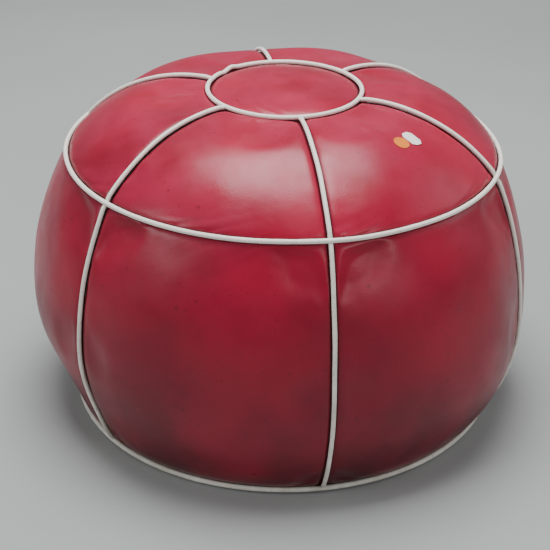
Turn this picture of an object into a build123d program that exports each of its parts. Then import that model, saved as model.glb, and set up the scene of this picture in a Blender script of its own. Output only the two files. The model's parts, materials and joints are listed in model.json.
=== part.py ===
"""Round six-gore leather pouf with piped seams, a zipped base and a stuffed liner bag inside.

Millimetres, +Z up, origin at the centre of the footprint on the floor.
A meridional plane through the Z axis holds every seam profile: local X is the radius, local Y is the height.
"""

import os
from math import atan2, cos, degrees, hypot, radians, sin, sqrt

from build123d import *

os.makedirs("parts", exist_ok=True)

# ---- driving dimensions -------------------------------------------------------------------------
GORES = 6
FIRST_SEAM_ANGLE = 30.0        # polar angle of the first gore seam, so that one seam faces -Y

disc_radius = 74.0             # seam of the round top disc
disc_height = 320.0
crown_height = 324.0           # centre of the top disc
top_arc_centre_radius = 85.0   # the top gores follow one arc, highest at this radius
shoulder_radius = 212.0        # seam between the top gores and the side gores
shoulder_height = 262.0
equator_radius = 248.0         # widest girth
equator_height = 110.0
base_radius = 217.0            # seam between the side gores and the base
base_height = 6.0

foot_outer_radius = 204.0      # flat ring that rests on the floor
foot_inner_radius = 186.0
recess_radius = 168.0          # the middle of the base is drawn up, clear of the floor
recess_height = 8.0

hide = 1.4                     # thickness of the leather
allowance = 8.0                # depth of the turned-in seam allowance
piping_radius = 2.5
piping_lift = 1.0              # the piping's centre stands this far above the leather's surface
piping_ply = 0.8               # piping strip, folded once round its cord
cord_radius = 1.6
bore_radius = 1.7
thread_radius = 0.3
thread_depth = 3.6             # the seam's stitches run this far under the leather's surface
cord_end_gap = 4.0             # a gore seam's cord and stitches stop this short of the ring seams
thread_end_gap = 6.0
clear = 0.1                    # gap between pieces that only lie beside each other

liner_depth = 10.0             # liner bag, measured in from the leather's surface
liner_floor = 16.0
liner_ply = 0.8

# ---- base zip -----------------------------------------------------------------------------------
zip_slot_length = 286.0
zip_slot_width = 11.0
hem_width = 12.0
tape_ply = 0.6
tape_width = 14.4
tape_edge = 1.6                # each tape's inner edge, from the zip's centre line
tooth_pitch = 3.0
teeth_per_side = 85
tooth_length = 1.3
tooth_gap = 0.7                # from a tooth's end to the centre line, where the slider's post runs
tooth_root = 2.8               # how far it grips its own tape
tooth_height = 2.4
slider_length = 12.0
slider_half_width = 4.9
slider_plate = 1.0
slider_slack = 0.3
post_width = 0.8               # the post that joins the slider's two plates
slider_rest_x = 130.0
ear_thickness = 1.1
ear_gap = 3.0
pin_radius = 0.6
eye_radius = 0.7
tab_length = 22.0
tab_width = 8.0
tab_ply = 1.2
stitch_pitch = 5.0
stitch_length = 3.4
stitch_width = 0.8
stitch_height = 0.4
stitch_offset = 9.5

# ---- labels stuck on one top gore ---------------------------------------------------------------
dot_radius = 7.5
label_length = 19.0
label_width = 13.0
label_turn = 90.0              # the label's long side, from the direction that runs round the pouf
label_clip = 3.5
label_radius = 148.5           # both labels' distance from the axis
dot_angle = -56.0
label_angle = -50.1
label_ply = 0.2
label_clear = 0.05

# ---- worked-out profile -------------------------------------------------------------------------
step_angle = 360.0 / GORES
seam_angles = [FIRST_SEAM_ANGLE + step_angle * i for i in range(GORES)]


def tangent_arc_radius(reach, rise):
    """Radius of the arc that leaves the equator upright and has come in by reach after rise."""
    return (reach**2 + rise**2) / (2 * reach)


crown_arc = tangent_arc_radius(crown_height - disc_height, disc_radius)
crown_centre = (0.0, crown_height - crown_arc)

top_arc_centre_height = (
    disc_height**2 - shoulder_height**2
    + (disc_radius - top_arc_centre_radius) ** 2 - (shoulder_radius - top_arc_centre_radius) ** 2
) / (2 * (disc_height - shoulder_height))
top_centre = (top_arc_centre_radius, top_arc_centre_height)
top_arc = hypot(disc_radius - top_centre[0], disc_height - top_centre[1])

upper_arc = tangent_arc_radius(equator_radius - shoulder_radius, shoulder_height - equator_height)
upper_centre = (equator_radius - upper_arc, equator_height)
lower_arc = tangent_arc_radius(equator_radius - base_radius, equator_height - base_height)
lower_centre = (equator_radius - lower_arc, equator_height)

disc_seam = (disc_radius, disc_height)
shoulder_seam = (shoulder_radius, shoulder_height)
equator = (equator_radius, equator_height)
base_seam = (base_radius, base_height)
floor_outer = (foot_outer_radius, 0.0)


def unit(x, y):
    """The vector (x, y) at length 1."""
    return x / hypot(x, y), y / hypot(x, y)


def between(a, b):
    """The unit vector halfway between two unit vectors."""
    return unit(a[0] + b[0], a[1] + b[1])


def outward(centre, point):
    """Unit vector from an arc's centre through a point on it."""
    return unit(point[0] - centre[0], point[1] - centre[1])


def shift(point, direction, distance):
    """The point moved by distance along direction."""
    return point[0] + direction[0] * distance, point[1] + direction[1] * distance


def across(direction):
    """The direction turned a quarter turn clockwise, which runs down the profile."""
    return direction[1], -direction[0]


disc_out = between(outward(crown_centre, disc_seam), outward(top_centre, disc_seam))
shoulder_out = between(outward(top_centre, shoulder_seam), outward(upper_centre, shoulder_seam))
hem_normal = unit(base_height, -(base_radius - foot_outer_radius))
base_out = between(outward(lower_centre, base_seam), hem_normal)

# Each ring seam: its point on the profile and the direction that its piping faces.
ring_seams = {
    "disc_ring": (disc_seam, disc_out),
    "shoulder_ring": (shoulder_seam, shoulder_out),
    "base_ring": (base_seam, base_out),
}

edge = piping_ply + clear / 2          # a leather edge lies this far from the seam's middle
tape_height = recess_height + 2 * hide + tape_ply / 2
foot_z = recess_height                 # outer face of the drawn-up middle of the base


def meridian(angle, offset=0.0):
    """The upright plane through the Z axis at a polar angle, moved sideways by offset."""
    a = radians(angle)
    side = Vector(-sin(a), cos(a), 0)
    return Plane(origin=side * offset, x_dir=(cos(a), sin(a), 0), z_dir=(sin(a), -cos(a), 0))


def save(name, part):
    """Labels a finished piece and writes it."""
    part.label = name
    export_step(part, f"parts/{name}.step")


def arc_about(centre, start, end):
    """The short arc from start to end about centre, in the current line."""
    a, b = (degrees(atan2(p[1] - centre[1], p[0] - centre[0])) for p in (start, end))
    return CenterArc(centre, hypot(start[0] - centre[0], start[1] - centre[1]), a, b - a)


def cut_arc(centre, radius, seam, out, gap):
    """Where the arc about centre meets the line beside a seam that runs gap away from its middle."""
    px, py = shift(seam, across(out), gap)
    dx, dy = px - centre[0], py - centre[1]
    along = dx * out[0] + dy * out[1]
    reach = sqrt(along**2 - (dx**2 + dy**2 - radius**2))
    return shift((px, py), out, -along + reach)


def strip(seam, out, near, far, depth):
    """A flat strip beside a seam: from near to far off its middle, and depth into the pouf."""
    with BuildLine() as outline:
        Polyline(
            shift(seam, across(out), near),
            shift(seam, across(out), far),
            shift(shift(seam, across(out), far), out, -depth),
            shift(shift(seam, across(out), near), out, -depth),
            close=True,
        )
    make_face(outline.edges())


def shell(arcs, start_seam, end_seam):
    """A leather section along arcs, each (centre, radius), with an allowance turned in at both seams."""
    (a, a_out), (b, b_out) = start_seam, end_seam
    outer = [cut_arc(*arcs[0], a, a_out, edge), cut_arc(*arcs[-1], b, b_out, -edge)]
    inner = [
        cut_arc(arcs[0][0], arcs[0][1] - hide, a, a_out, edge),
        cut_arc(arcs[-1][0], arcs[-1][1] - hide, b, b_out, -edge),
    ]
    with BuildLine() as outline:
        joints = [equator] if len(arcs) == 2 else []
        stops = [outer[0], *joints, outer[1]]
        for (centre, _), start, end in zip(arcs, stops, stops[1:]):
            arc_about(centre, start, end)
        Line(outer[1], inner[1])
        joints = [(equator_radius - hide, equator_height)] if len(arcs) == 2 else []
        stops = [inner[0], *joints, inner[1]]
        for (centre, _), start, end in reversed(list(zip(arcs, stops, stops[1:]))):
            arc_about(centre, end, start)
        Line(inner[0], outer[0])
    make_face(outline.edges())
    strip(a, a_out, edge, edge + hide, allowance)
    strip(b, b_out, -edge - hide, -edge, allowance)
    for seam, out in (start_seam, end_seam):
        with Locations(shift(seam, out, piping_lift)):
            Circle(piping_radius, mode=Mode.SUBTRACT)


def seam_solid(arcs, angle, section):
    """A solid along a gore seam's arcs; section draws its cross-section for an arc of a given radius."""
    with BuildPart() as solid:
        for centre, arc_radius, start, end in arcs:
            a, s = radians(angle), radians(start)
            radial = Vector(cos(a), sin(a), 0)
            side = Vector(-sin(a), cos(a), 0)
            origin = radial * centre[0] + Vector(0, 0, centre[1])
            x_dir = radial * cos(s) + Vector(0, 0, sin(s))
            with BuildSketch(Plane(origin=origin, x_dir=x_dir, z_dir=x_dir.cross(side))):
                section(arc_radius)
            # The axis points so that a positive turn raises the section from the horizontal.
            revolve(axis=Axis(origin, side * -1), revolution_arc=end - start)
    return solid.part


def seam_bar(arcs, angle, radius, lift, side=0.0):
    """A round bar along a gore seam: lift above the leather and side off the seam's plane."""

    def section(arc_radius):
        with Locations((arc_radius + lift, side)):
            Circle(radius)

    return seam_solid(arcs, angle, section)


def seam_flange(arcs, angle):
    """The piping strip's two plies, side by side down a gore seam."""

    def section(arc_radius):
        with Locations((arc_radius - allowance / 2, 0)):
            Rectangle(allowance, 2 * piping_ply)

    return seam_solid(arcs, angle, section)


def degrees_above(centre, point):
    """The direction of a point from an arc's centre, in degrees above the horizontal."""
    return degrees(atan2(point[1] - centre[1], point[0] - centre[0]))


top_seam_arcs = [
    (top_centre, top_arc, degrees_above(top_centre, shoulder_seam), degrees_above(top_centre, disc_seam)),
]
side_seam_arcs = [
    (upper_centre, upper_arc, 0.0, degrees_above(upper_centre, shoulder_seam)),
    (lower_centre, lower_arc, degrees_above(lower_centre, base_seam), 0.0),
]


def ring_room(names, tube_radius, half_width):
    """The room that ring seams take: a tube round each piping and a strip down each seam."""
    with BuildPart() as room:
        with BuildSketch(Plane.XZ):
            for name in names:
                seam, out = ring_seams[name]
                with Locations(shift(seam, out, piping_lift)):
                    Circle(tube_radius)
                strip(seam, out, -half_width, half_width, allowance + 2 * clear)
        revolve(axis=Axis.Z)
    return room.part


def gore(number, arcs, start_ring, end_ring, seam_arcs, name):
    """One gore: a sector of the leather shell with allowances turned in along all four edges."""
    first = seam_angles[number - 1]
    second = first + step_angle
    channels = [seam_bar(seam_arcs, angle, piping_radius, piping_lift) for angle in (first, second)]
    with BuildPart() as panel:
        with BuildSketch(meridian(first)):
            shell(arcs, ring_seams[start_ring], ring_seams[end_ring])
        revolve(axis=Axis.Z, revolution_arc=step_angle)
        for angle, way in ((first, 1), (second, -1)):
            split(bisect_by=meridian(angle, way * edge), keep=Keep.BOTTOM if way > 0 else Keep.TOP)
        for angle, way in ((first, 1), (second, -1)):
            with BuildSketch(meridian(angle, way * edge)):
                side_allowance(arcs, ring_seams[start_ring], ring_seams[end_ring])
            extrude(amount=-way * hide)
        for channel in channels:
            add(channel, mode=Mode.SUBTRACT)
    save(f"{name}_{number}", panel.part)


def side_allowance(arcs, start_seam, end_seam):
    """The allowance along a gore seam, notched where it would meet a ring seam's stitches."""
    notch = edge + hide + 4 * thread_radius
    (a, a_out), (b, b_out) = start_seam, end_seam
    rims = []
    for depth in (hide / 2, allowance):
        rims.append(
            (
                cut_arc(arcs[0][0], arcs[0][1] - depth, a, a_out, notch),
                cut_arc(arcs[-1][0], arcs[-1][1] - depth, b, b_out, -notch),
                [(equator_radius - depth, equator_height)] if len(arcs) == 2 else [],
            )
        )
    with BuildLine() as outline:
        for (start, end, joints), way in zip(rims, (1, -1)):
            stops = [start, *joints, end]
            runs = list(zip(arcs, stops, stops[1:]))
            for (centre, _), first, last in runs[::way]:
                arc_about(centre, *((first, last) if way > 0 else (last, first)))
        Line(rims[0][1], rims[1][1])
        Line(rims[1][0], rims[0][0])
    make_face(outline.edges())


# ---- leather cover ------------------------------------------------------------------------------
with BuildPart() as top_disc:
    with BuildSketch(Plane.XZ):
        with BuildLine():
            rim = cut_arc(crown_centre, crown_arc, disc_seam, disc_out, -edge)
            under = cut_arc(crown_centre, crown_arc - hide, disc_seam, disc_out, -edge)
            arc_about(crown_centre, (0, crown_height), rim)
            Line(rim, under)
            arc_about(crown_centre, under, (0, crown_height - hide))
            Line((0, crown_height - hide), (0, crown_height))
        make_face()
        strip(disc_seam, disc_out, -edge - hide, -edge, allowance)
        with Locations(shift(disc_seam, disc_out, piping_lift)):
            Circle(piping_radius, mode=Mode.SUBTRACT)
    revolve(axis=Axis.Z)
save("top_disc", top_disc.part)

top_arcs = [(top_centre, top_arc)]
side_arcs = [(upper_centre, upper_arc), (lower_centre, lower_arc)]
for number in range(1, GORES + 1):
    gore(number, top_arcs, "disc_ring", "shoulder_ring", top_seam_arcs, "top_gore")
    gore(number, side_arcs, "shoulder_ring", "base_ring", side_seam_arcs, "side_gore")


def base_half(name, side):
    """Half of the base: a drawn-up middle, a flat foot ring and a rim that turns up into its seam."""
    half_slot = zip_slot_width / 2
    rim_seam = shift(base_seam, across(base_out), edge)
    with BuildPart() as half:
        with BuildSketch(Plane.XZ):
            with BuildLine():
                outer = [
                    (0, recess_height),
                    (recess_radius, recess_height),
                    (foot_inner_radius, 0),
                    floor_outer,
                    rim_seam,
                ]
                Polyline(*outer)
                Polyline(
                    rim_seam,
                    shift(rim_seam, base_out, -hide),
                    (foot_outer_radius, hide),
                    (foot_inner_radius, hide),
                    (recess_radius, recess_height + hide),
                    (0, recess_height + hide),
                    (0, recess_height),
                )
            make_face()
            strip(base_seam, base_out, edge, edge + hide, allowance)
            with Locations(shift(base_seam, base_out, piping_lift)):
                Circle(piping_radius, mode=Mode.SUBTRACT)
        revolve(axis=Axis.Z)
        split(bisect_by=Plane.XZ.offset(-side * clear / 2), keep=Keep.BOTTOM if side > 0 else Keep.TOP)
        with Locations((0, side * (half_slot + hem_width / 2), recess_height + hide)):
            Box(zip_slot_length, hem_width, hide, align=(Align.CENTER, Align.CENTER, Align.MIN))
        with Locations((0, 0, recess_height)):
            Box(zip_slot_length, zip_slot_width, 4 * hide, mode=Mode.SUBTRACT)
    save(name, half.part)


base_half("base_half_front", -1)
base_half("base_half_rear", 1)


# ---- piping: a strip folded round a cord, sewn into each seam -------------------------------------
for name, (seam, out) in ring_seams.items():
    centre = shift(seam, out, piping_lift)
    with BuildPart() as piping:
        with BuildSketch(Plane.XZ):
            with Locations(centre):
                Circle(piping_radius)
            strip(seam, out, -piping_ply, piping_ply, allowance)
            with Locations(centre):
                Circle(bore_radius, mode=Mode.SUBTRACT)
        revolve(axis=Axis.Z)
    save(f"{name}_piping", piping.part)

    with BuildPart() as cord:
        with BuildSketch(Plane.XZ):
            with Locations(centre):
                Circle(cord_radius)
        revolve(axis=Axis.Z)
    save(f"{name}_cord", cord.part)

    with BuildPart() as thread:
        with BuildSketch(Plane.XZ):
            for way in (-1, 1):
                off_middle = way * (edge + hide + thread_radius + clear / 4)
                with Locations(shift(shift(seam, across(out), off_middle), out, -thread_depth)):
                    Circle(thread_radius)
        revolve(axis=Axis.Z)
    save(f"{name}_thread", thread.part)

all_rings = list(ring_seams)
bar_room = ring_room(all_rings, piping_radius + clear, piping_ply + clear)
strip_room = ring_room(all_rings, piping_radius + clear, edge + hide + 3 * thread_radius)


def gore_piping(number, arcs, name):
    """The piping of one gore seam, which stops against the ring pipings at its ends."""
    angle = seam_angles[number - 1]
    with BuildPart() as piping:
        add(seam_flange(arcs, angle) - strip_room)
        add(seam_bar(arcs, angle, piping_radius, piping_lift) - bar_room)
        add(seam_bar(arcs, angle, bore_radius, piping_lift), mode=Mode.SUBTRACT)
    save(f"{name}_{number}", piping.part)


def trimmed(arcs, gap):
    """A gore seam's arcs, cut back by gap at both ends of the seam."""
    low = min(start for _, _, start, _ in arcs)
    high = max(end for _, _, _, end in arcs)
    return [
        (
            centre,
            arc_radius,
            start + degrees(gap / arc_radius) * (start == low),
            end - degrees(gap / arc_radius) * (end == high),
        )
        for centre, arc_radius, start, end in arcs
    ]


def gore_lines(name, arcs, radius, lift, sides):
    """The cords or the stitch lines of all the gore seams of one kind, as separate solids in one node."""
    bars = [seam_bar(arcs, angle, radius, lift, side) for angle in seam_angles for side in sides]
    with BuildPart() as lines:
        for bar in bars:
            add(bar)
    save(name, lines.part)


thread_side = edge + hide + thread_radius + clear / 4
for number in range(1, GORES + 1):
    gore_piping(number, top_seam_arcs, "top_seam_piping")
    gore_piping(number, side_seam_arcs, "side_seam_piping")
for name, arcs in (("top_seam", top_seam_arcs), ("side_seam", side_seam_arcs)):
    cord_arcs = trimmed(arcs, cord_end_gap)
    thread_arcs = trimmed(arcs, thread_end_gap)
    gore_lines(f"{name}_cords", cord_arcs, cord_radius, piping_lift, (0.0,))
    gore_lines(f"{name}_threads", thread_arcs, thread_radius, -thread_depth, (-thread_side, thread_side))


# ---- liner bag and stuffing ---------------------------------------------------------------------
def bag_outline(depth, floor):
    """The half section of a closed bag, depth inside the leather and standing at height floor."""
    corner_radius = lower_centre[0] + sqrt((lower_arc - depth) ** 2 - (equator_height - floor) ** 2)
    shoulder = shift(shoulder_seam, shoulder_out, -depth)
    disc = shift(disc_seam, disc_out, -depth)
    with BuildLine() as outline:
        Line((0, floor), (corner_radius, floor))
        TangentArc((equator_radius - depth, equator_height), (corner_radius, floor), tangent=(0, -1))
        TangentArc((equator_radius - depth, equator_height), shoulder, tangent=(0, 1))
        RadiusArc(disc, shoulder, top_arc - depth)
        Line(disc, (0, crown_height - depth))
        Line((0, crown_height - depth), (0, floor))
    make_face(outline.edges())


def bag(inset):
    """The liner bag's shape, drawn in by inset on every side."""
    with BuildPart() as solid:
        with BuildSketch(Plane.XZ):
            bag_outline(liner_depth + inset, liner_floor + inset)
        revolve(axis=Axis.Z)
    return solid.part


liner_shell = bag(0) - bag(liner_ply)


def liner_piece(name, low, high):
    """A piece of the liner between two heights."""
    with BuildPart() as piece:
        add(liner_shell)
        split(bisect_by=Plane.XY.offset(low), keep=Keep.TOP)
        split(bisect_by=Plane.XY.offset(high), keep=Keep.BOTTOM)
    save(name, piece.part)


liner_shoulder = shift(shoulder_seam, shoulder_out, -liner_depth)[1]
liner_piece("liner_top", liner_shoulder, crown_height)
liner_piece("liner_wall", liner_floor + liner_ply, liner_shoulder)
liner_piece("liner_base", 0, liner_floor + liner_ply)
save("stuffing", bag(liner_ply + clear))


# ---- zip in the middle of the base --------------------------------------------------------------
def tape_places():
    """Where the zip's two tapes lie."""
    return Locations(*[(0, side * (tape_edge + tape_width / 2), tape_height) for side in (-1, 1)])


def zip_side(name, side):
    """One tape of the zip and its row of teeth."""
    middle = tape_edge + tape_width / 2
    with BuildPart() as tape:
        with Locations((0, side * middle, tape_height)):
            Box(zip_slot_length, tape_width, tape_ply)
    save(f"zip_tape_{name}", tape.part)

    first = -tooth_pitch * (teeth_per_side - 1) / 2 - (tooth_pitch / 2 if side > 0 else 0)
    tooth_width = tooth_root - tooth_gap
    tooth_y = side * (tooth_root + tooth_gap) / 2
    with BuildPart() as teeth:
        with Locations(*[(first + tooth_pitch * i, tooth_y, tape_height) for i in range(teeth_per_side)]):
            Box(tooth_length, tooth_width, tooth_height)
        with tape_places():
            Box(zip_slot_length, tape_width, tape_ply, mode=Mode.SUBTRACT)
    save(f"zip_teeth_{name}", teeth.part)


zip_side("front", -1)
zip_side("rear", 1)

stop_x = slider_rest_x + slider_length / 2 + slider_slack
with BuildPart() as top_stops:
    with Locations(*[(stop_x + 1.5, side * (tape_edge + 1.4), tape_height) for side in (-1, 1)]):
        Box(3, 3.4, tooth_height)
    with tape_places():
        Box(zip_slot_length, tape_width, tape_ply, mode=Mode.SUBTRACT)
save("zip_top_stops", top_stops.part)

teeth_end = tooth_pitch * teeth_per_side / 2
with BuildPart() as bottom_stop:
    with Locations((-teeth_end - 2.8, 0, tape_height)):
        Box(3, 7.2, tooth_height + 0.6)
    fillet(bottom_stop.edges().filter_by(Axis.Z), 0.6)
    with tape_places():
        Box(zip_slot_length, tape_width, tape_ply, mode=Mode.SUBTRACT)
save("zip_bottom_stop", bottom_stop.part)

channel_half_height = tooth_height / 2 + slider_slack
slider_half_height = channel_half_height + slider_plate
with BuildPart() as slider:
    with Locations((slider_rest_x, 0, tape_height)):
        Box(slider_length, 2 * slider_half_width, 2 * slider_half_height)
    fillet(slider.edges().filter_by(Axis.Z), 2.0)
    with Locations((slider_rest_x, 0, tape_height)):
        Box(slider_length, 2 * (tooth_root + slider_slack), 2 * channel_half_height, mode=Mode.SUBTRACT)
        Box(slider_length, 2 * slider_half_width, tape_ply + 2 * slider_slack, mode=Mode.SUBTRACT)
    with Locations((slider_rest_x + slider_length / 2 - 2.5, 0, tape_height)):
        Box(3.4, post_width, 2 * channel_half_height)
    pin_z = tape_height - slider_half_height - 1.7
    ear_y = ear_gap / 2 + ear_thickness / 2
    for way in (-1, 1):
        with BuildSketch(Plane.XZ.offset(-way * ear_y - ear_thickness / 2)):
            with BuildLine():
                top_z = tape_height - slider_half_height
                Polyline(
                    (slider_rest_x - 1.5, pin_z),
                    (slider_rest_x - 2.5, top_z),
                    (slider_rest_x + 2.5, top_z),
                    (slider_rest_x + 1.5, pin_z),
                )
                ThreePointArc(
                    (slider_rest_x + 1.5, pin_z),
                    (slider_rest_x, pin_z - 1.5),
                    (slider_rest_x - 1.5, pin_z),
                )
            make_face()
        extrude(amount=ear_thickness)
    with Locations(Location((slider_rest_x, 0, pin_z), (90, 0, 0))):
        Cylinder(pin_radius, ear_gap + 3 * ear_thickness, mode=Mode.SUBTRACT)
save("zip_slider", slider.part)

with BuildPart() as pin:
    with Locations(Location((slider_rest_x, 0, pin_z), (90, 0, 0))):
        Cylinder(pin_radius, ear_gap + 2 * ear_thickness)
save("pull_pin", pin.part)

with BuildPart() as tab:
    with BuildSketch(Plane.XY.offset(pin_z - tab_ply / 2)):
        with BuildLine():
            neck = ear_gap / 2 - 0.3
            Polyline(
                (slider_rest_x - tab_length + tab_width / 2, tab_width / 2),
                (slider_rest_x - 7, tab_width / 2),
                (slider_rest_x - 4.2, neck),
                (slider_rest_x, neck),
                (slider_rest_x, -neck),
                (slider_rest_x - 4.2, -neck),
                (slider_rest_x - 7, -tab_width / 2),
                (slider_rest_x - tab_length + tab_width / 2, -tab_width / 2),
            )
            ThreePointArc(
                (slider_rest_x - tab_length + tab_width / 2, -tab_width / 2),
                (slider_rest_x - tab_length, 0),
                (slider_rest_x - tab_length + tab_width / 2, tab_width / 2),
            )
        make_face()
        with Locations((slider_rest_x - tab_length + 5, 0)):
            Circle(1.8, mode=Mode.SUBTRACT)
    extrude(amount=tab_ply)
    with Locations(Location((slider_rest_x, 0, pin_z), (90, 0, 0))):
        Cylinder(eye_radius + 0.7, 2 * neck)
        Cylinder(eye_radius, 2 * neck, mode=Mode.SUBTRACT)
save("pull_tab", tab.part)

with BuildPart() as topstitch:
    count = int(zip_slot_length / stitch_pitch)
    with GridLocations(stitch_pitch, 2 * stitch_offset, count, 2):
        with Locations((0, 0, foot_z - stitch_height / 2)):
            Box(stitch_length, stitch_width, stitch_height)
save("zip_topstitch", topstitch.part)


# ---- stuck-on labels ----------------------------------------------------------------------------
def top_gore_plane(radius, angle, turn=0.0):
    """A plane that lies on a top gore at a radius and a polar angle, with X turned from round the pouf."""
    height = top_centre[1] + sqrt(top_arc**2 - (radius - top_centre[0]) ** 2)
    out, up = outward(top_centre, (radius, height))
    a = radians(angle)
    spot = Vector(radius * cos(a), radius * sin(a), height)
    normal = Vector(out * cos(a), out * sin(a), up)
    round_pouf = Vector(-sin(a), cos(a), 0)
    x_dir = round_pouf * cos(radians(turn)) + normal.cross(round_pouf) * sin(radians(turn))
    return Plane(origin=spot + normal * label_clear, x_dir=x_dir, z_dir=normal)


with BuildPart() as dot:
    with BuildSketch(top_gore_plane(label_radius, dot_angle)):
        Circle(dot_radius)
    extrude(amount=label_ply)
save("price_dot", dot.part)

with BuildPart() as lot_label:
    with BuildSketch(top_gore_plane(label_radius, label_angle, label_turn)):
        Rectangle(label_length, label_width)
        chamfer(vertices(), label_clip)
    extrude(amount=label_ply)
save("lot_label", lot_label.part)
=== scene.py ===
"""Looks for the round leather pouf: stuffed gores, cream piping, grey base, brass zip and two stuck-on labels.

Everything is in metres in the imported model's own frame: the floor is z = 0 and +Z is the pouf's axis.
"""

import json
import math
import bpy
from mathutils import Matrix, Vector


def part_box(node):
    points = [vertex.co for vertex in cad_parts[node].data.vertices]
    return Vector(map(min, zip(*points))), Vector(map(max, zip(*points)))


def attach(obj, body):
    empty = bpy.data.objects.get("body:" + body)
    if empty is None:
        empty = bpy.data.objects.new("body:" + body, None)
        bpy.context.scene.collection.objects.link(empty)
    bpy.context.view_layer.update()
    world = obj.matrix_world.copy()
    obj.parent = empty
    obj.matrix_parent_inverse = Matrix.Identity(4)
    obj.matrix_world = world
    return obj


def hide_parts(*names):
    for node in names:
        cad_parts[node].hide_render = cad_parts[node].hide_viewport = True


bl_info = {
    "name": "Leather Pouf",
    "version": (1, 0, 0),
    "blender": (4, 5, 0),
    "location": "3D View > Sidebar > Pouf",
    "description": "Builds the visible leather, piping, base and labels of a round six-gore pouf",
    "category": "Add Mesh",
}

import bmesh
import bpy
import numpy as np
from mathutils import Matrix, Vector, noise

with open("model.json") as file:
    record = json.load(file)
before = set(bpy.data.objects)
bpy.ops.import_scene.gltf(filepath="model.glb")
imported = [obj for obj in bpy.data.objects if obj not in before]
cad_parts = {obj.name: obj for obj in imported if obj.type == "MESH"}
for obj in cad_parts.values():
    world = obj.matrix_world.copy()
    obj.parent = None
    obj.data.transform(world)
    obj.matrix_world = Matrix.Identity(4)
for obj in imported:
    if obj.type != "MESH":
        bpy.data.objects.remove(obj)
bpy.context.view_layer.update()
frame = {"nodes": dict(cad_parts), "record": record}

GORES = 6
FIRST_SEAM = math.radians(30.0)
GORE_ANGLE = 2 * math.pi / GORES

# The cover's profile, (radius, height), and the arcs that join it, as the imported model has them.
CROWN = (0.0, 0.324)
DISC_SEAM = (0.074, 0.320)
SHOULDER_SEAM = (0.212, 0.262)
EQUATOR = (0.248, 0.110)
BASE_SEAM = (0.217, 0.006)


def upright_arc(low, high):
    """Centre and radius of the arc that is upright at its widest end, low, and passes through high."""
    reach, rise = low[0] - high[0], high[1] - low[1]
    radius = (reach**2 + rise**2) / (2 * reach)
    return (low[0] - radius, low[1]), radius


def top_gore_arc():
    """Centre and radius of the top gores' arc, highest at 85 mm from the axis."""
    a, b, r0 = DISC_SEAM, SHOULDER_SEAM, 0.085
    z0 = (a[1] ** 2 - b[1] ** 2 + (a[0] - r0) ** 2 - (b[0] - r0) ** 2) / (2 * (a[1] - b[1]))
    return (r0, z0), math.hypot(a[0] - r0, a[1] - z0)


def arc_angle(centre, point):
    return math.atan2(point[1] - centre[1], point[0] - centre[0])


TOP_CENTRE, TOP_RADIUS = top_gore_arc()
UPPER_CENTRE, UPPER_RADIUS = upright_arc(EQUATOR, SHOULDER_SEAM)
LOWER_CENTRE, LOWER_RADIUS = upright_arc(EQUATOR, BASE_SEAM)
CROWN_RADIUS = (0.004**2 + 0.074**2) / (2 * 0.004)

TOP_ARCS = [(TOP_CENTRE, TOP_RADIUS, arc_angle(TOP_CENTRE, DISC_SEAM), arc_angle(TOP_CENTRE, SHOULDER_SEAM))]
SIDE_ARCS = [
    (UPPER_CENTRE, UPPER_RADIUS, arc_angle(UPPER_CENTRE, SHOULDER_SEAM), 0.0),
    (LOWER_CENTRE, LOWER_RADIUS, 0.0, arc_angle(LOWER_CENTRE, BASE_SEAM)),
]
RINGS = {"disc_ring": (DISC_SEAM, 0.9), "shoulder_ring": (SHOULDER_SEAM, 0.62), "base_ring": (BASE_SEAM, -0.86)}


def linear(hex_colour):
    """An sRGB hex colour as linear RGBA."""
    rgb = [int(hex_colour[i : i + 2], 16) / 255 for i in (1, 3, 5)]
    return [c / 12.92 if c <= 0.04045 else ((c + 0.055) / 1.055) ** 2.4 for c in rgb] + [1.0]


def colour(name, description, hex_colour):
    return bpy.props.FloatVectorProperty(
        name=name, description=description, subtype="COLOR", size=4, min=0, max=1, default=linear(hex_colour)
    )


def length(name, description, default):
    return bpy.props.FloatProperty(name=name, description=description, default=default, min=0, unit="LENGTH")


class PoufCoverSettings(bpy.types.PropertyGroup):
    """The stuffed leather cover."""

    puff: length("Puff", "How far the stuffing bulges a gore between its seams", 0.0042)
    groove: length("Groove", "How deep the leather is drawn in at a seam", 0.0026)
    groove_width: length("Groove width", "How far from a seam the leather has risen again", 0.0042)
    crease: length("Crease", "Height of the short creases that run out from a seam", 0.0008)
    dent: length("Dent", "Height of the broad dents in the stuffing", 0.0016)
    hide: length("Hide", "Thickness of the leather", 0.0014)
    slump: length("Slump", "How far the left side has been pushed in near the floor", 0.013)
    pressure: bpy.props.FloatProperty(
        name="Pressure", description="Pressure of the stuffing in the cloth simulation", default=4.0, min=0
    )
    crimson: colour("Crimson", "Colour of the leather", "#AA0430")
    deep: colour("Deep crimson", "Colour where the dye is darker", "#880326")
    # This light colour stands for leather faded by rubbing and for a painted sheen of the overhead light on the top.
    bloom_and_sheen: colour("Bloom", "Rubbed and faded leather on the top", "#C4345A")
    # This dark colour serves for dirt, for the small scuffs, and for painted shade in the seam grooves and near the
    # floor.
    grime_and_shade: colour("Grime", "Dirt gathered in the seams and near the floor", "#2A070D")
    stain: colour("Stain", "Scuffed brown patch near the floor", "#5A4038")


class PoufPipingSettings(bpy.types.PropertyGroup):
    """The piped seams."""

    radius: length("Radius", "Half the width of the piping", 0.0022)
    lift: length("Lift", "Height of the piping's middle over the leather's surface", 0.0009)
    wander: length("Wander", "How far the piping strays from its seam", 0.0006)
    core: length("Core", "Half the width of the cord in the piping", 0.0015)
    stitch_depth: length("Stitch depth", "How far under the leather the seam's stitches run", 0.0052)
    stitch_side: length("Stitch side", "How far off the seam's middle its stitches run", 0.0026)
    cotton: colour("Cotton", "Colour of the cord in the piping", "#DAD3C2")
    cream: colour("Cream", "Colour of the piping", "#FFFCF2")
    # This grey colour serves for handling dirt and for painted shade that grows towards the floor.
    soiled_and_shaded: colour("Soiled", "Handled and soiled piping", "#C2BBAC")


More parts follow.
